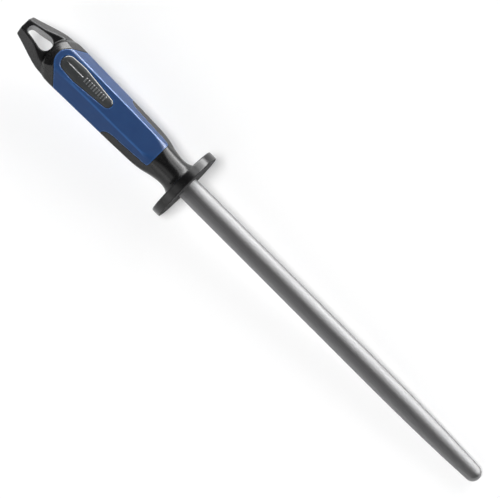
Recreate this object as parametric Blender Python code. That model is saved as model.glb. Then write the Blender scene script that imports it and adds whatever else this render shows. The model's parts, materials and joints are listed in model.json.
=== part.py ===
"""Butcher's sharpening steel: a steel rod with a tang, a round guard and a hexagonal two-colour handle.

Each piece is modelled along its own straight axis: X runs from the handle's butt end to the rod's tip,
Z comes out of the handle's front face and Y is across it. The finished pieces hang on one empty, which
lays the steel down as it rests on a table: on the guard's rim and the rod's tip, with the front face up.
"""

import math

import bmesh
import bpy
from mathutils import Matrix, Vector

MM = 0.001

# Driving dimensions
HANDLE_LENGTH = 161.4 * MM
GUARD_THICKNESS = 7.3 * MM
GUARD_RADIUS = 29.7 * MM
GUARD_EDGE = 1.2 * MM
ROD_LENGTH = 300 * MM
ROD_SHOULDER_EDGE = 0.4 * MM
ROD_RADIUS = 8.8 * MM
TIP_RADIUS = 6.45 * MM
TAPER_LENGTH = 116 * MM
TAPER_POWER = 2.6
TANG_RADIUS = 6.0 * MM
TANG_LENGTH = 88 * MM
GRIP_THICKNESS = 2.2 * MM
GAP = 0.3 * MM

# Handle section along its length: (distance from the butt end, width across the side ridges)
HANDLE_WIDTHS = (
    (0 * MM, 16.9 * MM),
    (6 * MM, 20.4 * MM),
    (22 * MM, 30.6 * MM),
    (30 * MM, 34.4 * MM),
    (36 * MM, 35.9 * MM),
    (43 * MM, 36.5 * MM),
    (57 * MM, 35.9 * MM),
    (100 * MM, 34.2 * MM),
    (117 * MM, 33.2 * MM),
    (128 * MM, 32.2 * MM),
    (135 * MM, 30.2 * MM),
    (143 * MM, 26.2 * MM),
    (149 * MM, 24.2 * MM),
    (154 * MM, 24.0 * MM),
    (158 * MM, 26.0 * MM),
    (162 * MM, 31.0 * MM),
)
EDGE_RADIUS = 1.5 * MM
BUTT_EDGE = 1.2 * MM
RING_SPACING = 4 * MM
NECK_STARTS = 124 * MM
NECK_ROUND = 150 * MM

# Hang eye: a teardrop hole through the butt, as the hull of two discs (x, radius)
EYE_DISCS = ((8.0 * MM, 3.65 * MM), (20.9 * MM, 5.85 * MM))

# The butt's front and back faces sink towards the grip, and a ramp climbs from them to the grip's nose
TONGUE_LOWERS = (10 * MM, 31 * MM)
TONGUE_DROP = 7.6 * MM
TONGUE_STATIONS = (9 * MM, 13 * MM, 16 * MM, 19 * MM, 22 * MM, 25 * MM)
RAMP_START = 27 * MM
ABOVE_FACE = 0.6 * MM
RAMP_ANGLE = math.radians(36)

# Soft grip: its outline seen from the front, and the side windows where the core shows
GRIP_NOSE = 33.6 * MM
GRIP_NOSE_RADIUS = 10.0 * MM
GRIP_END = 137.6 * MM
GRIP_END_CORNER = 4 * MM
GRIP_END_HALF = 8.5 * MM
OUTSIDE = 24 * MM
WINDOW_START = 95 * MM
WINDOW_NOSE_LENGTH = 10 * MM
WINDOW_HALF_START = 6.8 * MM
WINDOW_HALF_END = 8.0 * MM
WINDOW_DEPTH_FROM = 6 * MM

# Badge: an egg-shaped plate that stands a little proud of the grip's front face, as the hull of three discs
BADGE_DISCS = ((45.0 * MM, 6.3 * MM), (56 * MM, 7.0 * MM), (84.6 * MM, 4.2 * MM))
BADGE_PROUD = 0.4 * MM

# Tang: two flats near its end and three grooves, which key it in the handle
TANG_FLAT = 4.6 * MM
TANG_FLAT_LENGTH = 22 * MM
TANG_GROOVES = (14 * MM, 34 * MM, 54 * MM)
GROOVE_HALF = 2 * MM
GROOVE_DEPTH = 1.2 * MM
SEAT_DEPTH = 4 * MM

# Facets: a whole number of them in a quarter turn, so that one faces straight down
GUARD_FACETS = 32
ROD_FACETS = 24
CORNER_STEPS = 4
OUTLINE_STEPS = 40

GUARD_BACK = HANDLE_LENGTH
GUARD_FACE = HANDLE_LENGTH + GUARD_THICKNESS
TIP = GUARD_FACE + ROD_LENGTH
SHOULDER = GUARD_FACE - SEAT_DEPTH + GAP
TANG_END = SHOULDER - TANG_LENGTH


def clear_scene():
    for obj in list(bpy.data.objects):
        bpy.data.objects.remove(obj)


def plain_material(name, colour, roughness, metallic=0.0):
    material = bpy.data.materials.new(name)
    material.use_nodes = True
    shader = material.node_tree.nodes["Principled BSDF"]
    shader.inputs["Base Color"].default_value = (*colour, 1.0)
    shader.inputs["Roughness"].default_value = roughness
    shader.inputs["Metallic"].default_value = metallic
    return material


def new_object(name, mesh_maker):
    """A mesh object from a bmesh, with its faces turned outwards and its round parts shaded smooth."""
    bmesh.ops.recalc_face_normals(mesh_maker, faces=mesh_maker.faces)
    mesh = bpy.data.meshes.new(name)
    mesh_maker.to_mesh(mesh)
    mesh_maker.free()
    mesh.shade_smooth()
    mesh.set_sharp_from_angle(angle=math.radians(30))
    obj = bpy.data.objects.new(name, mesh)
    bpy.context.scene.collection.objects.link(obj)
    return obj


def as_helper(obj):
    obj.hide_render = True
    obj.display_type = "WIRE"
    return obj


def boolean(obj, other, operation):
    modifier = obj.modifiers.new(f"{operation.lower()} {other.name}", "BOOLEAN")
    modifier.operation = operation
    modifier.solver = "EXACT"
    modifier.object = other


def smooth_value(points, x):
    """A smooth curve through (x, value) points: a cubic on each span, with slopes read from its neighbours."""
    x = min(max(x, points[0][0]), points[-1][0])
    index = max(i for i in range(len(points) - 1) if points[i][0] <= x)

    def slope(i):
        before, after = points[max(i - 1, 0)], points[min(i + 1, len(points) - 1)]
        return (after[1] - before[1]) / (after[0] - before[0])

    (x0, v0), (x1, v1) = points[index], points[index + 1]
    span = x1 - x0
    t = (x - x0) / span
    rise = (3 - 2 * t) * t * t
    bend = slope(index) * t * (1 - t) ** 2 - slope(index + 1) * (1 - t) * t * t
    return v0 + (v1 - v0) * rise + bend * span


def smooth_step(low, high, x):
    blend = min(max((x - low) / (high - low), 0), 1)
    return blend * blend * (3 - 2 * blend)


def corner_radius(x):
    """The hexagon's corners are small on the grip and grow until the neck is round."""
    blend = smooth_step(NECK_STARTS, NECK_ROUND, x)
    return EDGE_RADIUS + (smooth_value(HANDLE_WIDTHS, x) / 2 - EDGE_RADIUS) * blend


def face_height(x):
    """How far the handle's front and back faces lie from its axis."""
    radius = corner_radius(x)
    return (smooth_value(HANDLE_WIDTHS, x) / 2 - radius) * math.cos(math.radians(30)) + radius


def hexagon_ring(mesh_maker, x, inset):
    """One closed ring of the handle's section at x, moved inwards by inset. Its flats face up and down."""
    radius = corner_radius(x)
    centre = smooth_value(HANDLE_WIDTHS, x) / 2 - radius
    short = max(inset - radius + 0.2 * MM, 0)
    centre -= short / math.cos(math.radians(30))
    radius -= inset - short
    ring = []
    for corner in range(6):
        middle = math.radians(60 * corner)
        for step in range(CORNER_STEPS + 1):
            angle = middle + math.radians(60 * step / CORNER_STEPS - 30)
            y = centre * math.cos(middle) + radius * math.cos(angle)
            z = centre * math.sin(middle) + radius * math.sin(angle)
            ring.append(mesh_maker.verts.new((x, y, z)))
    return [mesh_maker.edges.new((a, b)) for a, b in zip(ring, ring[1:] + ring[:1])]


def handle_form(name, inset, start, end, edge=0.0):
    """The handle's hexagonal form from start to end, closed by flat ends, the first with a rounded edge."""
    stations = []
    if edge:
        for step in range(3):
            angle = math.radians(30 * step)
            stations.append((start + edge * (1 - math.cos(angle)), inset + edge * (1 - math.sin(angle))))
    count = round((end - start - edge) / RING_SPACING)
    spacing = (end - start - edge) / count
    stations += [(start + edge + spacing * i, inset) for i in range(count + 1)]
    mesh_maker = bmesh.new()
    rings = [hexagon_ring(mesh_maker, x, moved_in) for x, moved_in in stations]
    for near, far in zip(rings, rings[1:]):
        bmesh.ops.bridge_loops(mesh_maker, edges=near + far)
    for ring in (rings[0], rings[-1]):
        bmesh.ops.contextual_create(mesh_maker, geom=ring)
    return new_object(name, mesh_maker)


def prism(name, outline, direction, low, high):
    """The outline, pairs in the X and Y or the X and Z plane, extruded along direction from low to high."""
    mesh_maker = bmesh.new()
    along_y = direction == "Y"
    base = [mesh_maker.verts.new((a, low, b) if along_y else (a, b, low)) for a, b in outline]
    face = mesh_maker.faces.new(base)
    made = bmesh.ops.extrude_face_region(mesh_maker, geom=[face])
    tops = [item for item in made["geom"] if isinstance(item, bmesh.types.BMVert)]
    step = Vector((0, high - low, 0)) if along_y else Vector((0, 0, high - low))
    bmesh.ops.translate(mesh_maker, verts=tops, vec=step)
    return new_object(name, mesh_maker)


def hull_of_discs(discs, grow=0.0):
    """The outline round discs on the X axis, each (x, radius): arcs joined by their common tangents."""
    outline = []
    for step in range(OUTLINE_STEPS):
        angle = 2 * math.pi * (step + 0.5) / OUTLINE_STEPS
        x, radius = max(discs, key=lambda disc: disc[0] * math.cos(angle) + disc[1])
        outline.append((x + (radius + grow) * math.cos(angle), (radius + grow) * math.sin(angle)))
    return outline


def turned(name, profile, facets):
    """The (x, radius) profile turned round the X axis; its facets' middles lie at the profile's radius."""
    mesh_maker = bmesh.new()
    start = Matrix.Rotation(math.pi / facets, 3, "X")
    stretch = 1 / math.cos(math.pi / facets)
    verts = [mesh_maker.verts.new(start @ Vector((x, 0, -radius * stretch))) for x, radius in profile]
    edges = [mesh_maker.edges.new(pair) for pair in zip(verts, verts[1:])]
    if profile[0][1] > 0:
        edges.append(mesh_maker.edges.new((verts[-1], verts[0])))
    bmesh.ops.spin(
        mesh_maker, geom=verts + edges, cent=(0, 0, 0), axis=(1, 0, 0), angle=2 * math.pi, steps=facets
    )
    bmesh.ops.remove_doubles(mesh_maker, verts=mesh_maker.verts, dist=0.001 * MM)
    return new_object(name, mesh_maker)


def grip_outline(grow=0.0):
    """The soft grip seen from the front: a round nose, 45 degree flanks, and an end with rounded corners."""
    centre = GRIP_NOSE + GRIP_NOSE_RADIUS
    radius = GRIP_NOSE_RADIUS + grow
    half = []
    for step in range(7):
        angle = math.radians(7.5 * step)
        half.append((centre - radius * math.cos(angle), radius * math.sin(angle)))
    x, y = half[-1]
    half.append((x + OUTSIDE - y, OUTSIDE))
    corner_x = GRIP_END - GRIP_END_CORNER
    corner = GRIP_END_CORNER + grow
    half.append((corner_x - GRIP_END_CORNER, OUTSIDE))
    for step in range(4):
        angle = math.radians(22 * (3 - step))
        half.append((corner_x + corner * math.cos(angle), GRIP_END_HALF + corner * math.sin(angle)))
    return half + [(x, -y) for x, y in reversed(half) if y > 0]


def window_outline(shrink=0.0):
    """One side window, seen from the side: an elliptical nose that opens towards the neck."""
    centre = WINDOW_START + WINDOW_NOSE_LENGTH
    past_end = GRIP_END + 6 * MM
    half = [(past_end, WINDOW_HALF_END - shrink)]
    for step in range(8):
        angle = math.radians(12 * (7.5 - step))
        x = centre - (WINDOW_NOSE_LENGTH - shrink) * math.cos(angle)
        half.append((x, (WINDOW_HALF_START - shrink) * math.sin(angle)))
    return half + [(x, -z) for x, z in reversed(half)]


def window_cutters(label, shrink=0.0):
    outline = window_outline(shrink)
    left = prism(f"{label}_left", outline, "Y", WINDOW_DEPTH_FROM, OUTSIDE + 2 * MM)
    right = prism(f"{label}_right", outline, "Y", -OUTSIDE - 2 * MM, -WINDOW_DEPTH_FROM)
    return as_helper(left), as_helper(right)


def tang_profile(grow):
    """The tang's (x, radius) points, from its end to the rod's shoulder, with its retaining grooves."""
    points = [(TANG_END - grow, 0), (TANG_END - grow, TANG_RADIUS - 1 * MM), (TANG_END + 1 * MM, TANG_RADIUS + grow)]
    for groove in TANG_GROOVES:
        middle = TANG_END + TANG_FLAT_LENGTH + groove
        points.append((middle - GROOVE_HALF, TANG_RADIUS + grow))
        points.append((middle - GROOVE_HALF / 2, TANG_RADIUS - GROOVE_DEPTH + grow))
        points.append((middle + GROOVE_HALF / 2, TANG_RADIUS - GROOVE_DEPTH + grow))
        points.append((middle + GROOVE_HALF, TANG_RADIUS + grow))
    return points


def rod_profile():
    """The whole rod: tang, shoulder, a long parallel stretch, a taper that quickens and a round tip."""
    points = tang_profile(0)
    points += [(SHOULDER, TANG_RADIUS), (SHOULDER, ROD_RADIUS - ROD_SHOULDER_EDGE)]
    points.append((SHOULDER + ROD_SHOULDER_EDGE, ROD_RADIUS))
    for step in range(6):
        along = step / 5
        thinner = (ROD_RADIUS - TIP_RADIUS) * along**TAPER_POWER
        points.append((TIP - TIP_RADIUS - TAPER_LENGTH * (1 - along), ROD_RADIUS - thinner))
    for step in range(1, 6):
        angle = math.radians(16 * step)
        points.append((TIP - TIP_RADIUS * (1 - math.sin(angle)), TIP_RADIUS * math.cos(angle)))
    points.append((TIP, 0))
    return points


def cut_flats(obj, distance):
    """Two milled flats at the tang's end, this far from the axis."""
    for side in (1, -1):
        low, high = sorted((side * distance, side * OUTSIDE))
        ends = (TANG_END - 2 * MM, TANG_END + TANG_FLAT_LENGTH)
        outline = [(ends[0], low), (ends[1], low), (ends[1], high), (ends[0], high)]
        cutter = prism(f"flat_cutter_{obj.name}_{'left' if side > 0 else 'right'}", outline, "Z", -OUTSIDE, OUTSIDE)
        boolean(obj, as_helper(cutter), "DIFFERENCE")


def make_sharpening_rod():
    rod = turned("sharpening_rod", rod_profile(), ROD_FACETS)
    cut_flats(rod, TANG_FLAT)
    rod.data.materials.append(plain_material("hard_steel", (0.55, 0.56, 0.57), 0.35, 1.0))
    return rod


def make_guard():
    """A disc with a rounded rim. The tang passes through it and the rod's shoulder sits in a recess."""
    tang_hole = TANG_RADIUS + GAP
    seat = ROD_RADIUS + GAP
    back, face = GUARD_BACK, GUARD_FACE
    profile = [(back, tang_hole)]
    for step in range(4):
        angle = math.radians(30 * step)
        x = back + GUARD_EDGE * (1 - math.cos(angle))
        profile.append((x, GUARD_RADIUS - GUARD_EDGE + GUARD_EDGE * math.sin(angle)))
    for step in range(4):
        angle = math.radians(90 - 30 * step)
        x = face - GUARD_EDGE * (1 - math.cos(angle))
        profile.append((x, GUARD_RADIUS - GUARD_EDGE + GUARD_EDGE * math.sin(angle)))
    profile += [(face, seat), (face - SEAT_DEPTH, seat), (face - SEAT_DEPTH, tang_hole)]
    guard = turned("guard", profile, GUARD_FACETS)
    guard.data.materials.append(plain_material("black_guard_plastic", (0.012, 0.012, 0.013), 0.35))
    return guard


def make_grip_pocket():
    """What the soft grip takes away from the core: its zone outside the inner form, less the windows."""
    pocket = prism("grip_pocket", grip_outline(GAP), "Z", -OUTSIDE, OUTSIDE)
    inner = handle_form("core_under_grip", GRIP_THICKNESS + GAP, 20 * MM, 150 * MM)
    boolean(pocket, as_helper(inner), "DIFFERENCE")
    for cutter in window_cutters("window_keep", GAP):
        boolean(pocket, cutter, "DIFFERENCE")
    return as_helper(pocket)


def tongue_cutters():
    """What the sunken faces and their ramps take away from the butt, at the front and at the back."""
    first = TONGUE_STATIONS[0]
    outline = [(first, face_height(first) + ABOVE_FACE)]
    for x in TONGUE_STATIONS[1:]:
        outline.append((x, face_height(x) - TONGUE_DROP * smooth_step(*TONGUE_LOWERS, x)))
    top = face_height(GRIP_NOSE)
    outline.append((RAMP_START, top - (GRIP_NOSE - RAMP_START) * math.tan(RAMP_ANGLE)))
    past_nose = GRIP_NOSE + ABOVE_FACE / math.tan(RAMP_ANGLE)
    outline += [(past_nose, top + ABOVE_FACE), (past_nose, OUTSIDE), (first, OUTSIDE)]
    for side, name in ((1, "front"), (-1, "back")):
        yield as_helper(prism(f"tongue_cutter_{name}", [(x, side * z) for x, z in outline], "Y", -OUTSIDE, OUTSIDE))


def make_handle_core():
    """The hard inner handle: butt with the hang eye, the body under the grip, the neck and the tang's socket."""
    core = handle_form("handle_core", 0.0, 0.0, HANDLE_LENGTH - GAP, edge=BUTT_EDGE)
    for cutter in tongue_cutters():
        boolean(core, cutter, "DIFFERENCE")
    boolean(core, make_grip_pocket(), "DIFFERENCE")
    eye = prism("eye_cutter", hull_of_discs(EYE_DISCS), "Z", -OUTSIDE, OUTSIDE)
    boolean(core, as_helper(eye), "DIFFERENCE")
    socket = turned("socket_cutter", tang_profile(GAP) + [(GUARD_FACE, TANG_RADIUS + GAP), (GUARD_FACE, 0)], ROD_FACETS)
    cut_flats(socket, TANG_FLAT + GAP)
    boolean(core, as_helper(socket), "DIFFERENCE")
    core.data.materials.append(plain_material("black_core_plastic", (0.010, 0.010, 0.011), 0.35))
    return core


def make_soft_grip():
    """The coloured sleeve moulded round the core, with a window on each side ridge and one for the badge."""
    grip = prism("soft_grip", grip_outline(), "Z", -OUTSIDE, OUTSIDE)
    outer = handle_form("grip_outer_form", 0.0, 10 * MM, 155 * MM)
    inner = handle_form("grip_inner_form", GRIP_THICKNESS, 20 * MM, 150 * MM)
    boolean(grip, as_helper(outer), "INTERSECT")
    boolean(grip, as_helper(inner), "DIFFERENCE")
    for cutter in window_cutters("window_cutter"):
        boolean(grip, cutter, "DIFFERENCE")
    badge_hole = prism("badge_hole", hull_of_discs(BADGE_DISCS, GAP), "Z", 0, OUTSIDE)
    boolean(grip, as_helper(badge_hole), "DIFFERENCE")
    grip.data.materials.append(plain_material("blue_soft_plastic", (0.026, 0.062, 0.168), 0.5))
    return grip


def make_badge():
    """The egg-shaped plate in the grip's front window, a little above the grip's surface."""
    badge = prism("front_badge", hull_of_discs(BADGE_DISCS), "Z", 0, OUTSIDE)
    top = handle_form("badge_top_form", -BADGE_PROUD, 30 * MM, 110 * MM)
    bottom = handle_form("badge_bottom_form", GRIP_THICKNESS, 20 * MM, 120 * MM)
    boolean(badge, as_helper(top), "INTERSECT")
    boolean(badge, as_helper(bottom), "DIFFERENCE")
    badge.data.materials.append(plain_material("badge_plastic", (0.020, 0.021, 0.022), 0.3))
    return badge


def resting_tilt():
    """How far the rod's tip dips when the guard's rounded rim and the round tip both touch a table."""
    rim = Vector((GUARD_FACE - GUARD_EDGE, -(GUARD_RADIUS - GUARD_EDGE)))
    tip = Vector((TIP - TIP_RADIUS, 0))
    line = tip - rim
    return math.atan2(line.y, line.x) - math.asin((TIP_RADIUS - GUARD_EDGE) / line.length)


def box_of(objects):
    graph = bpy.context.evaluated_depsgraph_get()
    points = []
    for obj in objects:
        evaluated = obj.evaluated_get(graph)
        points += [evaluated.matrix_world @ vertex.co for vertex in evaluated.data.vertices]
    low = Vector([min(point[axis] for point in points) for axis in range(3)])
    high = Vector([max(point[axis] for point in points) for axis in range(3)])
    return low, high


def lay_down(pieces):
    """Parents the pieces to one empty, tilts it to the resting pose and centres the whole on the origin."""
    rest = bpy.data.objects.new("rest_pose", None)
    bpy.context.scene.collection.objects.link(rest)
    for obj in list(bpy.context.scene.objects):
        if obj is not rest:
            obj.parent = rest
    rest.rotation_euler = (0, resting_tilt(), 0)
    bpy.context.view_layer.update()
    low, high = box_of(pieces)
    rest.location = (-(low.x + high.x) / 2, -(low.y + high.y) / 2, -low.z)
    bpy.context.view_layer.update()


def main():
    clear_scene()
    lay_down([make_sharpening_rod(), make_guard(), make_handle_core(), make_soft_grip(), make_badge()])


main()
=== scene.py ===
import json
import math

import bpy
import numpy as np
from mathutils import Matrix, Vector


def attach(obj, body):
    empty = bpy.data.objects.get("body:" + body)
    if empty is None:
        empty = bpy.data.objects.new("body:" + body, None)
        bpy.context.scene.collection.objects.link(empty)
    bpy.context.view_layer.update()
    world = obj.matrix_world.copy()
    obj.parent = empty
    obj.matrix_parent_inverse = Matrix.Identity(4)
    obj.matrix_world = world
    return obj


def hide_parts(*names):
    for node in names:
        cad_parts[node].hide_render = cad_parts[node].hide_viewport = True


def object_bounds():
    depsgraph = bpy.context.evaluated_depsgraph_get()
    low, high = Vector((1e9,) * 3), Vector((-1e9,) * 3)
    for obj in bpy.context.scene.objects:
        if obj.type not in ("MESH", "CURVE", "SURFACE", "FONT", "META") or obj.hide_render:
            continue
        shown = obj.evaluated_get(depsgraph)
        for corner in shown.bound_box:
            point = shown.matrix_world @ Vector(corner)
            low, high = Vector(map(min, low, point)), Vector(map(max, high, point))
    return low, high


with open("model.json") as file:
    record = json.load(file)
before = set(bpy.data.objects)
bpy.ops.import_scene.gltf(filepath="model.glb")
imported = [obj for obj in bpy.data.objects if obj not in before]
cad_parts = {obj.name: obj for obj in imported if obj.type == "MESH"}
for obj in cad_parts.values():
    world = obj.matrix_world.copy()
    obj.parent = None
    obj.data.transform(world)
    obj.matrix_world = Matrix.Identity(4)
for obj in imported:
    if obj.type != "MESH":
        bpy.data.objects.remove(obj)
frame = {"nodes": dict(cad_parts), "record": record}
CAD_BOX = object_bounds()

# The looks of the sharpening steel. Its pieces are made in the steel's own straight axes, in millimetres:
# X runs from the handle's butt end to the rod's tip, Z comes out of the handle's front face and Y runs across
# it.
# The handle's pieces are level sets of forms, functions that are negative inside and grow about one per
# millimetre, so edges, lips and fillets are all real rounded shapes.

MM = 0.001
SIN45 = math.sin(math.radians(45))
COS30 = math.cos(math.radians(30))

# Handle section along its length, as in the CAD: (distance from the butt end, width across the side ridges)
HANDLE_WIDTHS = (
    (0, 16.9), (6, 20.4), (22, 30.6), (30, 34.4), (36, 35.9), (43, 36.5), (57, 35.9), (100, 34.2),
    (117, 33.2), (128, 32.2), (135, 30.2), (143, 26.2), (149, 24.2), (154, 24.0), (158, 26.0), (162, 31.0),
)
# The butt's own width, straight-sided until it runs into the grip's body
BUTT_WIDTHS = ((0, 16.9), (6, 20.4), (22, 30.6), (28, 33.4), (34, 34.4), (40, 34.4))

# The ridges' rounding, which is softer at the nose and grows to the full round of the neck: radii, and the
# spans of X that they change over
EDGE_RADIUS = 1.5
NOSE_EDGE_RADIUS = 4.0
NOSE_EDGE_FADES = (36, 72)
NECK_ROUNDS = (124, 150)

# The butt's edge and crease, and where it ends inside the grip's body
BUTT_EDGE = 1.2
BUTT_ENDS = 46.0
BUTT_CREASE = 1.0

# The butt's front and back sink over this span, and a ramp climbs to the grip's face round the grip's nose
TONGUE_LOWERS = (10, 31)
TONGUE_DROP = 7.6
RAMP_ANGLE = math.radians(36)
RAMP_REACH = 9.2
WALL_EDGE = 3.0
VALLEY_RADIUS = 1.0

# Hang eye: a teardrop hole, as the hull of two discs (x, radius)
EYE_DISCS = ((8.0, 3.65), (20.9, 5.85))
EYE_RIM = 0.7
# The record's hang_eye mount lies this far along the steel
HANG_POINT = 17.5

# Soft grip: its outline seen from the front, and the side windows where the core shows
GRIP_THICKNESS = 2.2
GRIP_NOSE = 33.6
GRIP_NOSE_RADIUS = 10.0
GRIP_END = 137.6
GRIP_END_CORNER = 4.0
GRIP_END_HALF = 8.5
WINDOW_START = 95.0
WINDOW_NOSE_LENGTH = 10.0
WINDOW_HALF_START = 6.8
WINDOW_HALF_END = 8.0
WINDOW_DEPTH_FROM = 6.0
PARTING_GAP = 0.06
LIP_RADIUS = 0.35

# Badge: an egg-shaped, domed plate in the grip's front face, as the hull of three discs
BADGE_DISCS = ((45.0, 6.3), (56.0, 7.0), (84.6, 4.2))
BADGE_RECESS_LIP = 0.15
BADGE_RIM_RISE = 0.35
BADGE_CROWN = 0.55
BADGE_CROWN_WIDTH = 5.5
BADGE_RIM = 1.3

# Plain marks raised on the badge: one lengthwise line, as two discs (x, radius), and a row of crosswise bars
MARK_HEIGHT = 0.35
MARK_LINE = ((43.0, 0.45), (59.0, 0.45))
MARK_BARS = 9
MARK_BAR_START = 62.0
MARK_BAR_PITCH = 2.4
MARK_BAR_HALF = (0.55, 2.0)

# Tang, as in the CAD, and the seat in the guard that the rod's shoulder sits in
TANG_RADIUS = 6.0
TANG_LENGTH = 88.0
TANG_FLAT = 4.6
TANG_FLAT_LENGTH = 22.0
TANG_GROOVES = (14.0, 34.0, 54.0)
TANG_GROOVE_DEPTH = 1.2
SEAT_DEPTH = 4.0
FIT_GAP = 0.3

# Rod: it is parallel, tapers along its last stretch to a round tip, and has fine lengthwise ribs
TIP_RADIUS = 6.45
TAPER_LENGTH = 116.0
TAPER_POWER = 2.6
SHOULDER_EDGE = 0.4
RIBS = 120
RIB_DEPTH = 0.05
STEPS_PER_RIB = 4

# Guard: the rounding of its rim and of its seat's mouth, and rings that keep its flat faces well meshed
GUARD_EDGE = 1.2
GUARD_SEAT_EDGE = 0.3
GUARD_FACE_RINGS = (12.0, 18.0, 24.0)
GUARD_RIM_RING = 1.0
GUARD_STEPS = 192

# Edges that bend this much, read over this reach, are lightened: worn by handling, and on the blue grip and
# the badge's rim also a painted highlight. The badge's marks are sharper.
EDGE_BENDS = (0.15, 0.55)
MARK_BENDS = (0.9, 1.6)
EDGE_REACH = 0.6

# Meshing: the grids' cells, how far a form is looked for past the CAD's box and, in cells, how far the grid
# goes beyond that, the step that slopes are read over, how firmly a point is held to the middle of its cell's
# crossings, and the angle past which an edge is sharp
FORM_CELL = 0.55
BADGE_CELL = 0.3
FORM_MARGIN = 0.5
GRID_MARGIN = 2.3
SLOPE_STEP = 0.02
CENTRE_HOLD = 0.05
SHARP_ANGLE = math.radians(35)

# Metres, for the rounding of single-precision coordinates
BOX_MARGIN = 2e-7


# ---------------------------------------------------------------- the frame

def steel_axes():
    """The matrix from the steel's own axes, in metres, to the scene, read from the record's two mounts."""
    mounts = {mount["name"]: mount for mount in frame["record"]["mounts"]}
    along = Vector(mounts["guard_face"]["axis"]).normalized()
    out = Vector(mounts["hang_eye"]["axis"]).normalized()
    across = out.cross(along).normalized()
    butt = Vector(mounts["hang_eye"]["pos_m"]) - along * HANG_POINT * MM
    return Matrix.Translation(butt) @ Matrix((along, across, out)).transposed().to_4x4()


STEEL = steel_axes()


def extent(node):
    """A CAD node's lowest and highest corners in the steel's own axes, in millimetres."""
    to_steel = np.array(STEEL.inverted())
    points = np.array([vertex.co for vertex in frame["nodes"][node].data.vertices])
    points = (points @ to_steel[:3, :3].T + to_steel[:3, 3]) / MM
    return points.min(0), points.max(0)


GUARD_BACK, GUARD_FACE = (corner[0] for corner in extent("guard"))
GUARD_RADIUS = -extent("guard")[0][2]
ROD_RADIUS = -extent("sharpening_rod")[0][2]
TIP = extent("sharpening_rod")[1][0]
TIP_START = TIP - TIP_RADIUS
TAPER_START = TIP_START - TAPER_LENGTH
CORE_END = extent("handle_core")[1][0]
SHOULDER = GUARD_FACE - SEAT_DEPTH + FIT_GAP
TANG_END = SHOULDER - TANG_LENGTH


# ---------------------------------------------------------------- forms

def curve(points, x):
    """The CAD's smooth curve through (x, value) points: a cubic on each span between them."""
    at, value = np.array(points, float).T
    last = len(at) - 1
    order = np.arange(last + 1)
    ahead, behind = np.minimum(order + 1, last), np.maximum(order - 1, 0)
    slope = (value[ahead] - value[behind]) / (at[ahead] - at[behind])
    x = np.clip(x, at[0], at[-1])
    i = np.clip(np.searchsorted(at, x, side="right") - 1, 0, last - 1)
    span = at[i + 1] - at[i]
    t = (x - at[i]) / span
    bend = slope[i] * t * (1 - t) ** 2 - slope[i + 1] * (1 - t) * t * t
    return value[i] + (value[i + 1] - value[i]) * (3 - 2 * t) * t * t + bend * span


def smooth_step(low, high, x):
    t = np.clip((x - low) / (high - low), 0, 1)
    return t * t * (3 - 2 * t)


def round_max(a, b, radius):
    """What two forms have in common, with the edge between them rounded."""
    corner = np.hypot(np.maximum(a + radius, 0), np.maximum(b + radius, 0))
    return np.minimum(np.maximum(a, b), -radius) + corner


def round_min(a, b, radius):
    """Two forms joined, with a fillet between them."""
    return -round_max(-a, -b, radius)


def hexagon(y, z, inradius):
    """Distance to a regular hexagon whose flats face up and down."""
    y, z = np.abs(y), np.abs(z)
    over = 2 * np.minimum(0.5 * z - COS30 * y, 0)
    y, z = y + COS30 * over, z - 0.5 * over
    half = inradius * math.tan(math.radians(30))
    return np.hypot(y - np.clip(y, -half, half), z - inradius) * np.sign(z - inradius)


def rounded_hexagon(y, z, width, corner):
    return hexagon(y, z, (width / 2 - corner) * COS30) - corner


def hull_of_two(first, second, x, y):
    """Distance to the hull of two discs on the X axis, each (x, radius)."""
    (x1, r1), (x2, r2) = first, second
    length = x2 - x1
    lean = (r1 - r2) / length
    upright = math.sqrt(1 - lean * lean)
    along, across = x - x1, np.abs(y)
    height = along * upright - across * lean
    side = across * upright + along * lean - r1
    at_start = np.hypot(along, across) - r1
    at_end = np.hypot(along - length, across) - r2
    return np.where(height < 0, at_start, np.where(height > upright * length, at_end, side))


def flanked_nose(along, across, radius):
    """Distance to an outline that is round at its end and runs back at 45 degrees on both sides."""
    flank = (along + across) * SIN45 - radius
    tip = np.where(across < 0, along, np.hypot(along, across)) - radius
    return np.where(across > along, flank, tip)


def nose_distance(x, y):
    return flanked_nose(GRIP_NOSE + GRIP_NOSE_RADIUS - x, np.abs(y), GRIP_NOSE_RADIUS)


def grip_zone(x, y):
    """Negative where the soft grip lies, seen from the front."""
    end = flanked_nose(x - GRIP_END + GRIP_END_CORNER, np.abs(y) - GRIP_END_HALF, GRIP_END_CORNER)
    return np.maximum(nose_distance(x, y), end)


def side_windows(x, y, z):
    """Negative in the two windows where the core reaches the surface: an elliptical nose that opens out."""
    nose_end = WINDOW_START + WINDOW_NOSE_LENGTH
    opening = (WINDOW_HALF_END - WINDOW_HALF_START) / (GRIP_END - nose_end)
    straight = np.abs(z) - WINDOW_HALF_START - opening * (x - nose_end)
    u, v = (x - nose_end) / WINDOW_NOSE_LENGTH, z / WINDOW_HALF_START
    reach = np.hypot(u, v)
    steepness = np.hypot(u / WINDOW_NOSE_LENGTH, v / WINDOW_HALF_START) / np.maximum(reach, 0.01)
    nose = (reach - 1) / np.maximum(steepness, 0.01)
    return np.maximum(np.where(x > nose_end, straight, nose), WINDOW_DEPTH_FROM - np.abs(y))


def badge_outline(x, y):
    first, middle, last = BADGE_DISCS
    return np.minimum(hull_of_two(first, middle, x, y), hull_of_two(middle, last, x, y))


def corner_radius(x, width):
    """The grip's edges are softest at the nose, crisp along the middle, and fully round at the neck."""
    soft = (NOSE_EDGE_RADIUS - EDGE_RADIUS) * (1 - smooth_step(*NOSE_EDGE_FADES, x))
    return EDGE_RADIUS + soft + (width / 2 - EDGE_RADIUS) * smooth_step(*NECK_ROUNDS, x)


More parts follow.
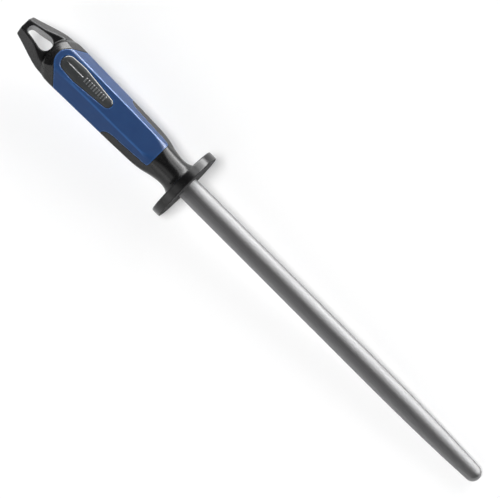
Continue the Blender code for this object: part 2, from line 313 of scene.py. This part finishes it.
def grip_body(x, y, z):
    """The handle from the grip's nose to the guard, with the ramps that end it at the nose."""
    width = curve(HANDLE_WIDTHS, x)
    corner = corner_radius(x, width)
    flat = (width / 2 - corner) * COS30 + corner
    nose = nose_distance(x, y)
    ramp = (np.abs(z) - flat) * math.cos(RAMP_ANGLE) + nose * math.sin(RAMP_ANGLE)
    body = round_max(rounded_hexagon(y, z, width, corner), ramp, LIP_RADIUS)
    return round_max(body, nose - RAMP_REACH, WALL_EDGE)


def butt_body(x, y, z):
    """The tapering butt, whose front and back faces sink towards the grip's nose."""
    width = curve(BUTT_WIDTHS, x)
    flat = (width / 2 - BUTT_CREASE) * COS30 + BUTT_CREASE - TONGUE_DROP * smooth_step(*TONGUE_LOWERS, x)
    faces = round_max(rounded_hexagon(y, z, width, BUTT_CREASE), np.abs(z) - flat, BUTT_CREASE)
    return round_max(round_max(faces, -x, BUTT_EDGE), x - BUTT_ENDS, BUTT_EDGE)


def handle_body(x, y, z):
    """The whole handle's outer form, with both plastics."""
    return round_min(butt_body(x, y, z), grip_body(x, y, z), VALLEY_RADIUS)


def core_form(x, y, z):
    """The hard core: the butt and its eye, the body under the grip, the windows, the neck and the bore."""
    body = handle_body(x, y, z)
    eye = hull_of_two(*EYE_DISCS, x, y)
    under_grip = -(body + GRIP_THICKNESS + PARTING_GAP)
    pocket = np.maximum(grip_zone(x, y) - PARTING_GAP, -(side_windows(x, y, z) + PARTING_GAP))
    bore = np.maximum(np.hypot(y, z) - TANG_RADIUS - FIT_GAP, TANG_END - FIT_GAP - x)
    solid = round_max(body, -np.maximum(pocket, under_grip), LIP_RADIUS)
    solid = round_max(solid, -eye, EYE_RIM)
    return np.maximum(np.maximum(solid, -bore), x - CORE_END)


def grip_form(x, y, z):
    """The soft sleeve: the handle's skin in the grip's zone, less the side windows and the badge's."""
    body = grip_body(x, y, z)
    badge_hole = np.maximum(badge_outline(x, y) - PARTING_GAP, -z)
    cut = np.maximum(grip_zone(x, y), -side_windows(x, y, z))
    skin = round_max(body, cut, LIP_RADIUS)
    skin = round_max(skin, -badge_hole, BADGE_RECESS_LIP)
    return np.maximum(skin, -(body + GRIP_THICKNESS))


def badge_form(x, y, z):
    """The badge: a crowned plate with a rounded rim, a raised line and a row of raised bars."""
    width = curve(HANDLE_WIDTHS, x)
    corner = corner_radius(x, width)
    flat = (width / 2 - corner) * COS30 + corner
    outline = badge_outline(x, y)
    inwards = np.clip(-outline / BADGE_CROWN_WIDTH, 0, 1)
    top = flat + BADGE_RIM_RISE + BADGE_CROWN * (1 - (1 - inwards) ** 2)
    plate = round_max(z - top, outline, BADGE_RIM)
    for mark in badge_marks(x, y):
        raised = np.maximum(mark, z - top - MARK_HEIGHT)
        plate = np.minimum(plate, raised)
    return np.maximum(plate, flat - GRIP_THICKNESS - z)


def badge_marks(x, y):
    """Plain marks in place of a maker's: one lengthwise line and a row of short crosswise bars."""
    marks = [hull_of_two(*MARK_LINE, x, y)]
    half_width, half_length = MARK_BAR_HALF
    for i in range(MARK_BARS):
        middle = MARK_BAR_START + MARK_BAR_PITCH * i
        marks.append(np.maximum(np.abs(x - middle) - half_width, np.abs(y) - half_length))
    return marks


# ---------------------------------------------------------------- meshes

def gradient(form, points, step):
    """The form's slope at the points, by central differences."""
    slopes = []
    for axis in range(3):
        shift = np.zeros(3)
        shift[axis] = step
        slopes.append(form(*(points + shift).T) - form(*(points - shift).T))
    return np.stack(slopes, 1) / (2 * step)


def curvature(form, points, step):
    """How sharply the form bends outwards at the points, in radians for each millimetre."""
    around = -6 * form(*points.T)
    for axis in range(3):
        shift = np.zeros(3)
        shift[axis] = step
        around = around + form(*(points + shift).T) + form(*(points - shift).T)
    return around / step**2


def crossings(values, corner_places, pairs):
    """Where the form crosses zero on each edge of each cell: points, and which of them are real."""
    first, second = values[:, pairs[:, 0]], values[:, pairs[:, 1]]
    real = (first < 0) != (second < 0)
    t = np.where(real, first / np.where(real, first - second, 1), 0)[..., None]
    start, end = corner_places[pairs[:, 0]], corner_places[pairs[:, 1]]
    return start + t * (end - start), real


def cell_points(form, values, index, axes, cell):
    """One point for each cell that the surface crosses, which sits on its faces and on their creases."""
    corners = np.array([(i, j, k) for i in (0, 1) for j in (0, 1) for k in (0, 1)])
    pairs = np.array([
        (a, b) for a in range(8) for b in range(a + 1, 8)
        if abs(corners[a] - corners[b]).sum() == 1
    ])
    at = [index[:, axis, None] + corners[:, axis] for axis in range(3)]
    spots, real = crossings(values[at[0], at[1], at[2]], corners * cell, pairs)
    base = np.stack([axes[axis][index[:, axis]] for axis in range(3)], 1)
    spots = spots + base[:, None]
    normals = np.zeros_like(spots)
    normals[real] = gradient(form, spots[real], SLOPE_STEP)
    normals /= np.maximum(np.linalg.norm(normals, axis=2, keepdims=True), 1e-9)
    weight = real[..., None]
    mean = (spots * weight).sum(1) / weight.sum(1)
    matrix = np.einsum("nei,nej->nij", normals, normals) + CENTRE_HOLD * np.eye(3)
    offset = np.einsum("nei,nej,nej->ni", normals, normals, (spots - mean[:, None]) * weight)
    moved = np.linalg.solve(matrix, offset[..., None])[..., 0]
    return mean + np.clip(moved, -cell, cell)


def cell_quads(inside, number):
    """The quads between neighbouring cells, one for each grid edge that the surface crosses, facing out."""
    quads = []
    for axis in range(3):
        solid, label = np.moveaxis(inside, axis, 0), np.moveaxis(number, axis, 0)
        crossing = solid[:-1, 1:-1, 1:-1] != solid[1:, 1:-1, 1:-1]
        i, j, k = np.nonzero(crossing)
        j, k = j + 1, k + 1
        around = [label[i, j - 1, k - 1], label[i, j, k - 1], label[i, j, k], label[i, j - 1, k]]
        ring = np.stack(around, 1)
        turn = solid[i, j, k] == (axis == 1)
        ring[turn] = ring[turn][:, ::-1]
        quads.append(ring)
    return np.concatenate(quads)


def mesh_from_form(name, form, low, high, cell, bends):
    """A closed mesh round the points between low and high where the form is negative."""
    margin = GRID_MARGIN * cell
    axes = [np.arange(a - margin, b + margin, cell) for a, b in zip(low, high)]
    values = form(*np.meshgrid(*axes, indexing="ij", sparse=True))
    inside = values < 0
    count = sum(
        inside[i:i - 1 or None, j:j - 1 or None, k:k - 1 or None].astype(np.int8)
        for i in (0, 1) for j in (0, 1) for k in (0, 1)
    )
    crossed = (count > 0) & (count < 8)
    index = np.argwhere(crossed)
    number = np.full(crossed.shape, -1)
    number[crossed] = np.arange(len(index))
    points = cell_points(form, values, index, axes, cell)
    quads = cell_quads(inside, number)
    mesh = bpy.data.meshes.new(name)
    mesh.from_pydata((points * MM).tolist(), [], quads.tolist())
    mesh.shade_smooth()
    normals = gradient(form, points, cell / 2)
    normals /= np.maximum(np.linalg.norm(normals, axis=1, keepdims=True), 1e-9)
    mesh.normals_split_custom_set_from_vertices(normals.tolist())
    bend = mesh.attributes.new("edge", "FLOAT", "POINT")
    # Lightened convex edges: wear, and on the blue grip and the badge's rim a painted highlight
    wear_and_highlight = smooth_step(*bends, curvature(form, points, EDGE_REACH))
    bend.data.foreach_set("value", wear_and_highlight.astype(np.float32))
    return mesh


def smooth_mesh(name, points, faces):
    """A smooth-shaded mesh of points in millimetres, with its sharp edges kept."""
    mesh = bpy.data.meshes.new(name)
    mesh.from_pydata((np.array(points) * MM).tolist(), [], faces)
    mesh.shade_smooth()
    mesh.set_sharp_from_angle(angle=SHARP_ANGLE)
    return mesh


def mesh_from_rings(name, rings):
    """A closed mesh through rings of points in the steel's axes, its ends closed by single points."""
    steps = len(rings[0])
    points = [rings[0].mean(0)] + list(np.concatenate(rings)) + [rings[-1].mean(0)]
    faces = []
    for step in range(steps):
        following = (step + 1) % steps
        faces.append((0, 1 + step, 1 + following))
        for row in range(len(rings) - 1):
            near, far = 1 + row * steps, 1 + (row + 1) * steps
            faces.append((near + step, far + step, far + following, near + following))
        far = 1 + (len(rings) - 1) * steps
        faces.append((len(points) - 1, far + following, far + step))
    return smooth_mesh(name, points, faces)


def circle(x, radius, steps):
    angle = 2 * np.pi * np.arange(steps) / steps
    return np.stack([np.full(steps, x), radius * np.cos(angle), radius * np.sin(angle)], 1)


def arc(centre, radius, start, end, steps):
    """(x, radius) points on an arc round centre, its angles in degrees from the X axis."""
    angles = np.radians(np.linspace(start, end, steps))
    return [(centre[0] + radius * math.cos(a), centre[1] + radius * math.sin(a)) for a in angles]


def rod_radius(x):
    """The rod's radius: parallel, then a taper that quickens, then the round tip."""
    along = np.clip((x - TAPER_START) / TAPER_LENGTH, 0, 1)
    body = ROD_RADIUS - (ROD_RADIUS - TIP_RADIUS) * along**TAPER_POWER
    past = np.clip((x - TIP_START) / TIP_RADIUS, 0, 1)
    return np.where(past > 0, TIP_RADIUS * np.sqrt(1 - past * past), body)


def tang_rings(steps):
    """The tang's rings: chamfered end, two milled flats and three grooves."""
    flats_end = TANG_END + TANG_FLAT_LENGTH
    profile = [(TANG_END, 0.5), (TANG_END, TANG_RADIUS - 1), (TANG_END + 1, TANG_RADIUS)]
    profile += [(flats_end, TANG_RADIUS), (flats_end + 0.05, TANG_RADIUS)]
    for groove in TANG_GROOVES:
        middle = flats_end + groove
        bottom = TANG_RADIUS - TANG_GROOVE_DEPTH
        profile += [(middle - 2, TANG_RADIUS), (middle - 1, bottom)]
        profile += [(middle + 1, bottom), (middle + 2, TANG_RADIUS)]
    profile.append((SHOULDER, TANG_RADIUS))
    rings = [circle(x, radius, steps) for x, radius in profile]
    for ring in rings:
        if ring[0, 0] <= flats_end:
            ring[:, 1] = np.clip(ring[:, 1], -TANG_FLAT, TANG_FLAT)
    return rings


def rod_mesh():
    """The steel rod with its tang. Fine lengthwise ribs run from the guard to the round tip."""
    steps = RIBS * STEPS_PER_RIB
    wave = 0.5 - 0.5 * np.cos(2 * np.pi * RIBS * np.arange(steps) / steps)
    rings = tang_rings(steps)
    rings.append(circle(SHOULDER, ROD_RADIUS - SHOULDER_EDGE, steps))
    rings.append(circle(SHOULDER + SHOULDER_EDGE, ROD_RADIUS, steps))
    body = np.concatenate([
        np.linspace(SHOULDER + 2, GUARD_FACE, 4),
        np.linspace(GUARD_FACE + 4, TAPER_START, 12),
        np.linspace(TAPER_START, TIP_START, 30)[1:],
        TIP - TIP_RADIUS * (1 - np.sin(np.radians(np.linspace(4, 88, 22)))),
    ])
    for x in body:
        depth = RIB_DEPTH * smooth_step(GUARD_FACE - 1, GUARD_FACE + 1, x)
        depth = depth * (1 - smooth_step(TIP_START, TIP_START + 0.4 * TIP_RADIUS, x))
        rings.append(circle(x, float(rod_radius(x)) - depth * wave, steps))
    return mesh_from_rings("rod_ribbed", rings)


def guard_mesh():
    """The guard: a flat disc with a rounded rim, bored for the tang and the rod's seat."""
    tang_hole, seat = TANG_RADIUS + FIT_GAP, ROD_RADIUS + FIT_GAP
    rim = GUARD_RADIUS - GUARD_EDGE
    back_edge, face_edge = GUARD_BACK + GUARD_EDGE, GUARD_FACE - GUARD_EDGE
    profile = [(GUARD_BACK, tang_hole)]
    profile += [(GUARD_BACK, radius) for radius in GUARD_FACE_RINGS]
    profile += arc((back_edge, rim), GUARD_EDGE, 180, 90, 9)
    profile += [(back_edge + GUARD_RIM_RING, GUARD_RADIUS), (face_edge - GUARD_RIM_RING, GUARD_RADIUS)]
    profile += arc((face_edge, rim), GUARD_EDGE, 90, 0, 9)
    profile += [(GUARD_FACE, radius) for radius in reversed(GUARD_FACE_RINGS)]
    profile += arc((GUARD_FACE - GUARD_SEAT_EDGE, seat + GUARD_SEAT_EDGE), GUARD_SEAT_EDGE, 0, -90, 4)
    profile += [(GUARD_FACE - SEAT_DEPTH, seat), (GUARD_FACE - SEAT_DEPTH, tang_hole)]
    points = np.concatenate([circle(x, radius, GUARD_STEPS) for x, radius in profile])
    faces = []
    for row in range(len(profile)):
        near, far = row * GUARD_STEPS, (row + 1) % len(profile) * GUARD_STEPS
        for step in range(GUARD_STEPS):
            following = (step + 1) % GUARD_STEPS
            faces.append((near + step, far + step, far + following, near + following))
    return smooth_mesh("guard_moulded", points, faces)


# ---------------------------------------------------------------- materials

# Each plastic's two clouded colours and the colour of its lightened edges: wear from handling, and on the
# blue grip and the badge's rim also a painted highlight along creases and rims
BLACK_TONES = ((0.0015, 0.0015, 0.0016), (0.0025, 0.0025, 0.0026), (0.006, 0.006, 0.0064))
BLUE_TONES = ((0.0075, 0.034, 0.113), (0.0095, 0.040, 0.127), (0.025, 0.085, 0.24))
BADGE_TONES = ((0.026, 0.028, 0.029), (0.034, 0.036, 0.037), (0.16, 0.165, 0.17))
# The guard's face towards the rod, this thick, is rougher by this much than its rim
GUARD_FACE_SKIN = 0.4
GUARD_FACE_ROUGHER = 0.6
STEEL_DARK = (0.21, 0.21, 0.213)
STEEL_LIGHT = (0.265, 0.265, 0.268)
STEEL_ROUGH = (0.36, 0.46)
FLOOR_TONE = 0.9


def shader_tree(name):
    """A new node material, with its tree and its shader."""
    material = bpy.data.materials.new(name)
    material.use_nodes = True
    tree = material.node_tree
    return material, tree, tree.nodes["Principled BSDF"]


def node(tree, kind, **settings):
    """A new node. Each setting is one of its attributes, or else one of its inputs."""
    made = tree.nodes.new(kind)
    for key, value in settings.items():
        if hasattr(made, key):
            setattr(made, key, value)
        else:
            made.inputs[key.replace("_", " ")].default_value = value
    return made


def place(tree, scale):
    """Places in the steel's own axes, stretched by scale: (1, 1, 1) is one unit for each millimetre."""
    coordinates = node(tree, "ShaderNodeTexCoord")
    mapping = node(
        tree, "ShaderNodeMapping", vector_type="TEXTURE",
        Location=STEEL.translation, Rotation=STEEL.to_euler(), Scale=tuple(MM / s for s in scale),
    )
    tree.links.new(coordinates.outputs["Object"], mapping.inputs["Vector"])
    return mapping.outputs["Vector"]


def noise(tree, scale, detail=3.0, roughness=0.5):
    made = node(tree, "ShaderNodeTexNoise", Scale=1.0, Detail=detail, Roughness=roughness)
    tree.links.new(place(tree, scale), made.inputs["Vector"])
    return made.outputs["Fac"]


def spread(tree, value, low, high):
    """The noise value's middle range, 0.3 to 0.7, mapped to low to high."""
    made = node(tree, "ShaderNodeMapRange", clamp=True)
    for key, number in (("From Min", 0.3), ("From Max", 0.7), ("To Min", low), ("To Max", high)):
        made.inputs[key].default_value = number
    tree.links.new(value, made.inputs["Value"])
    return made.outputs["Result"]


def blend_colours(tree, value, first, second):
    """From first, at 0, to second, at 1: each is a colour or a socket that gives one."""
    made = node(tree, "ShaderNodeMix", data_type="RGBA")
    factor, first_socket, second_socket = (s for s in made.inputs if s.enabled)
    tree.links.new(value, factor)
    for socket, colour in ((first_socket, first), (second_socket, second)):
        if isinstance(colour, tuple):
            socket.default_value = (*colour, 1)
        else:
            tree.links.new(colour, socket)
    return next(s for s in made.outputs if s.enabled)


def bump(tree, height, strength, distance):
    """The normal that a height gives, over a distance in millimetres."""
    made = node(tree, "ShaderNodeBump", Strength=strength, Distance=distance * MM)
    tree.links.new(height, made.inputs["Height"])
    return made.outputs["Normal"]


def roughen_past(tree, shader, x, rougher_by):
    """Makes the shader rougher where the piece lies further along the steel than x."""
    smooth = shader.inputs["Roughness"].links[0].from_socket
    ahead = node(tree, "ShaderNodeSeparateXYZ")
    tree.links.new(place(tree, (1, 1, 1)), ahead.inputs["Vector"])
    past = node(tree, "ShaderNodeMath", operation="GREATER_THAN")
    tree.links.new(ahead.outputs["X"], past.inputs[0])
    past.inputs[1].default_value = x
    rougher = node(tree, "ShaderNodeMath", operation="MULTIPLY_ADD", use_clamp=True)
    tree.links.new(past.outputs["Value"], rougher.inputs[0])
    rougher.inputs[1].default_value = rougher_by
    tree.links.new(smooth, rougher.inputs[2])
    tree.links.new(rougher.outputs["Value"], shader.inputs["Roughness"])


def moulded_plastic(name, dark, light, wear_and_highlight, rough, specular, grain, grain_depth):
    """Moulded plastic: a fine moulded grain, slight clouding of colour and gloss, and lighter edges, for wear
    and a painted edge highlight.
    """
    material, tree, shader = shader_tree(name)
    shader.inputs["Specular IOR Level"].default_value = specular
    clouds = spread(tree, noise(tree, (0.12, 0.12, 0.12), 4.0), 0.0, 1.0)
    colour = blend_colours(tree, clouds, dark, light)
    wear_and_highlight_amount = node(tree, "ShaderNodeMath", operation="MULTIPLY")
    edges = node(tree, "ShaderNodeAttribute", attribute_name="edge")
    patches = spread(tree, noise(tree, (0.25, 0.6, 0.6), 4.0, 0.6), 0.7, 1.0)
    tree.links.new(edges.outputs["Fac"], wear_and_highlight_amount.inputs[0])
    tree.links.new(patches, wear_and_highlight_amount.inputs[1])
    # The edges' lighter colour: wear from handling, and a painted highlight along creases and rims
    colour = blend_colours(tree, wear_and_highlight_amount.outputs["Value"], colour, wear_and_highlight)
    tree.links.new(colour, shader.inputs["Base Color"])
    gloss = spread(tree, noise(tree, (0.5, 0.5, 0.5), 5.0, 0.6), rough[0], rough[1])
    tree.links.new(gloss, shader.inputs["Roughness"])
    fine = noise(tree, (grain, grain, grain), 2.0)
    tree.links.new(bump(tree, fine, 0.5, grain_depth), shader.inputs["Normal"])
    return material


def steel_material():
    """Hardened steel with a fine lengthwise cut: streaks along X, in tone, gloss and height."""
    material, tree, shader = shader_tree("fine_cut_steel")
    shader.inputs["Metallic"].default_value = 1.0
    streaks = noise(tree, (0.02, 3.0, 3.0), 3.0, 0.6)
    colour = blend_colours(tree, spread(tree, streaks, 0, 1), STEEL_DARK, STEEL_LIGHT)
    tree.links.new(colour, shader.inputs["Base Color"])
    fine = noise(tree, (0.05, 6.0, 6.0), 2.0)
    tree.links.new(spread(tree, fine, *STEEL_ROUGH), shader.inputs["Roughness"])
    tree.links.new(bump(tree, streaks, 0.3, 0.02), shader.inputs["Normal"])
    return material


# ---------------------------------------------------------------- pieces

def keep_in_box(mesh):
    """Draws in the points that a finer mesh puts microns outside the CAD model's box."""
    points = np.empty(3 * len(mesh.vertices), np.float32)
    mesh.vertices.foreach_get("co", points)
    low, high = (np.array(corner) for corner in CAD_BOX)
    points = np.clip(points.reshape(-1, 3), low + BOX_MARGIN, high - BOX_MARGIN)
    mesh.vertices.foreach_set("co", points.ravel().astype(np.float32))


def add_piece(mesh, material, replaced):
    """Lays a mesh down where the steel lies, as a piece that stands for one node of the CAD."""
    piece = bpy.data.objects.new(mesh.name, mesh)
    bpy.context.scene.collection.objects.link(piece)
    mesh.transform(STEEL)
    keep_in_box(mesh)
    mesh.materials.append(material)
    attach(piece, "root")
    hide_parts(replaced)


def mesh_for(name, form, node_name, cell=FORM_CELL, bends=EDGE_BENDS):
    """The form's mesh, looked for a little beyond the CAD node's box."""
    low, high = extent(node_name)
    return mesh_from_form(name, form, low - FORM_MARGIN, high + FORM_MARGIN, cell, bends)


def plastics():
    """The black of the core and of the guard, the soft blue and the badge's grey."""
    core = moulded_plastic(
        "black_core_plastic", *BLACK_TONES, rough=(0.22, 0.30), specular=0.36, grain=3.0, grain_depth=0.02,
    )
    guard = moulded_plastic(
        "black_guard_plastic", *BLACK_TONES, rough=(0.20, 0.28), specular=0.38, grain=2.5, grain_depth=0.02,
    )
    tree = guard.node_tree
    roughen_past(tree, tree.nodes["Principled BSDF"], GUARD_FACE - GUARD_FACE_SKIN, GUARD_FACE_ROUGHER)
    blue = moulded_plastic(
        "blue_soft_plastic", *BLUE_TONES, rough=(0.33, 0.40), specular=0.16, grain=2.0, grain_depth=0.03,
    )
    badge = moulded_plastic(
        "badge_plastic", *BADGE_TONES, rough=(0.20, 0.28), specular=0.5, grain=3.0, grain_depth=0.02,
    )
    return core, guard, blue, badge


def add_pieces():
    core, guard, blue, badge = plastics()
    add_piece(rod_mesh(), steel_material(), "sharpening_rod")
    add_piece(guard_mesh(), guard, "guard")
    add_piece(mesh_for("core_moulded", core_form, "handle_core"), core, "handle_core")
    add_piece(mesh_for("grip_moulded", grip_form, "soft_grip"), blue, "soft_grip")
    badge_mesh = mesh_for("badge_moulded", badge_form, "front_badge", BADGE_CELL, MARK_BENDS)
    add_piece(badge_mesh, badge, "front_badge")


# ---------------------------------------------------------------- stage, light and camera

# The view: how far it turns and yaws off the handle's front, and how far the picture is rolled. The lens is
# long, and the picture is this wide where the steel lies and centred this far along and across it.
VIEW_TURN = math.radians(9.5)
VIEW_YAW = math.radians(1.5)
VIEW_ROLL = math.radians(45)
VIEW_LENS = 200
VIEW_SENSOR = 36
VIEW_WIDTH = 366 * MM
AIM_ALONG = 232.5 * MM
AIM_ACROSS = 0.5 * MM

# Diffuse lights, from the vertical in degrees: (name, lean, strength, softness). The key leans to the -Y
# side, and only the key casts a shadow.
SOFT_SUNS = (("key", 14, 1.9, 16), ("right_fill", -60, 1.8, 40), ("left_fill", 60, 1.0, 40))
# Softboxes that are only mirrored, in degrees as seen from the scene's origin: (name, azimuth, half width,
# low, high, level)
SOFTBOXES = (
    ("right_low", 97, 58, 0, 18, 9.0), ("right_middle", 97, 58, 18, 46, 1.3),
    ("right_high", 97, 58, 46, 62, 4.2),
    ("left_low", -85, 42, 15, 32, 0.75), ("left_high", -85, 42, 46, 70, 0.4),
)
# The same, but each is mirrored by some pieces only, as one set of boxes doesn't suit steel and plastic alike
HANDLE_AND_GUARD = ("core_moulded", "guard_moulded", "grip_moulded")
SHINES = {
    ("grip_shine", 97, 58, 0, 34, 42.0): ("grip_moulded",),
    ("core_shine", 97, 58, 0, 40, 5.0): ("core_moulded", "guard_moulded"),
    ("badge_shine", 97, 58, 0, 34, 16.0): ("badge_moulded",),
    ("left_low_shine", -85, 42, 0, 32, 1.3): HANDLE_AND_GUARD,
    ("left_high_shine", -85, 42, 32, 62, 0.75): HANDLE_AND_GUARD,
}
BOX_DISTANCE = 2.5
# What the unlit studio shows in a reflection
AMBIENT_LEVEL = 0.12
FLOOR_HALF = 6.0


def view_axes():
    """The picture's right, up and back directions, and the point it is centred on."""
    along, across, out = (Vector(column[:3]) for column in STEEL.transposed()[:3])
    back = out * math.cos(VIEW_TURN) - across * math.sin(VIEW_TURN)
    back = (back * math.cos(VIEW_YAW) + along * math.sin(VIEW_YAW)).normalized()
    flat = (along - along.dot(back) * back).normalized()
    side = back.cross(flat)
    right = flat * math.cos(VIEW_ROLL) + side * math.sin(VIEW_ROLL)
    up = side * math.cos(VIEW_ROLL) - flat * math.sin(VIEW_ROLL)
    return right, up, back, STEEL.translation + flat * AIM_ALONG + side * AIM_ACROSS


def add_camera():
    right, up, back, aim = view_axes()
    data = bpy.data.cameras.new("camera")
    data.lens = VIEW_LENS
    data.sensor_width = VIEW_SENSOR
    data.clip_start, data.clip_end = 0.1, 50
    camera = bpy.data.objects.new("camera", data)
    bpy.context.scene.collection.objects.link(camera)
    distance = VIEW_WIDTH * VIEW_LENS / VIEW_SENSOR
    turn = Matrix((right, up, back)).transposed().to_4x4()
    camera.matrix_world = Matrix.Translation(aim + back * distance) @ turn
    bpy.context.scene.camera = camera


def add_floor():
    """A plain white table top under the steel."""
    mesh = bpy.data.meshes.new("table_top")
    corners = [(FLOOR_HALF * x, FLOOR_HALF * y, 0) for x, y in ((-1, -1), (1, -1), (1, 1), (-1, 1))]
    mesh.from_pydata(corners, [], [(0, 1, 2, 3)])
    floor = bpy.data.objects.new("table_top", mesh)
    bpy.context.scene.collection.objects.link(floor)
    material, _, shader = shader_tree("white_paper")
    shader.inputs["Roughness"].default_value = 1.0
    shader.inputs["Specular IOR Level"].default_value = 0.0
    shader.inputs["Base Color"].default_value = (FLOOR_TONE, FLOOR_TONE, FLOOR_TONE, 1)
    mesh.materials.append(material)


def add_light(name, kind, turn):
    data = bpy.data.lights.new(name, kind)
    light = bpy.data.objects.new(name, data)
    light.rotation_euler = turn
    bpy.context.scene.collection.objects.link(light)
    return light, data


def add_suns():
    """The lights that make the diffuse shading and the shadows. They aren't mirrored."""
    for name, lean, strength, softness in SOFT_SUNS:
        light, data = add_light(name, "SUN", (math.radians(lean), 0, 0))
        data.energy = strength
        data.angle = math.radians(softness)
        data.use_shadow = name == "key"
        light.visible_glossy = False


def add_softbox(name, *angles, level):
    """A large panel beside the table, which only reflections see."""
    turn, half_width, low, high = (math.radians(angle) for angle in angles)
    middle = (low + high) / 2
    flat = Vector((math.cos(turn), math.sin(turn), 0))
    direction = flat * math.cos(middle) + Vector((0, 0, math.sin(middle)))
    light, data = add_light(name, "AREA", direction.to_track_quat("Z", "Y").to_euler())
    data.shape = "RECTANGLE"
    data.size = 2 * BOX_DISTANCE * math.tan(half_width)
    data.size_y = 2 * BOX_DISTANCE * math.tan((high - low) / 2)
    data.energy = level * math.pi * data.size * data.size_y
    light.location = direction * BOX_DISTANCE
    light.visible_diffuse = False
    return light


def add_softboxes():
    """The softboxes for all pieces, then those for some, which take the pieces by name."""
    for *place_and_size, level in SOFTBOXES:
        add_softbox(*place_and_size, level=level)
    for (*place_and_size, level), pieces in SHINES.items():
        light = add_softbox(*place_and_size, level=level)
        lit = bpy.data.collections.new(light.name)
        for piece in pieces:
            lit.objects.link(bpy.data.objects[piece])
        light.light_linking.receiver_collection = lit


def add_surroundings():
    """Even, dim studio walls, white only where the camera sees them."""
    world = bpy.data.worlds.new("studio")
    bpy.context.scene.world = world
    world.use_nodes = True
    tree = world.node_tree
    seen = node(tree, "ShaderNodeLightPath")
    level = node(tree, "ShaderNodeMath", operation="MAXIMUM")
    level.inputs[0].default_value = AMBIENT_LEVEL
    tree.links.new(seen.outputs["Is Camera Ray"], level.inputs[1])
    background = tree.nodes["Background"]
    tree.links.new(level.outputs["Value"], background.inputs["Strength"])
    background.inputs["Color"].default_value = (1, 1, 1, 1)


bpy.context.scene.view_settings.view_transform = "Standard"
add_pieces()
add_camera()
add_floor()
add_suns()
add_softboxes()
add_surroundings()
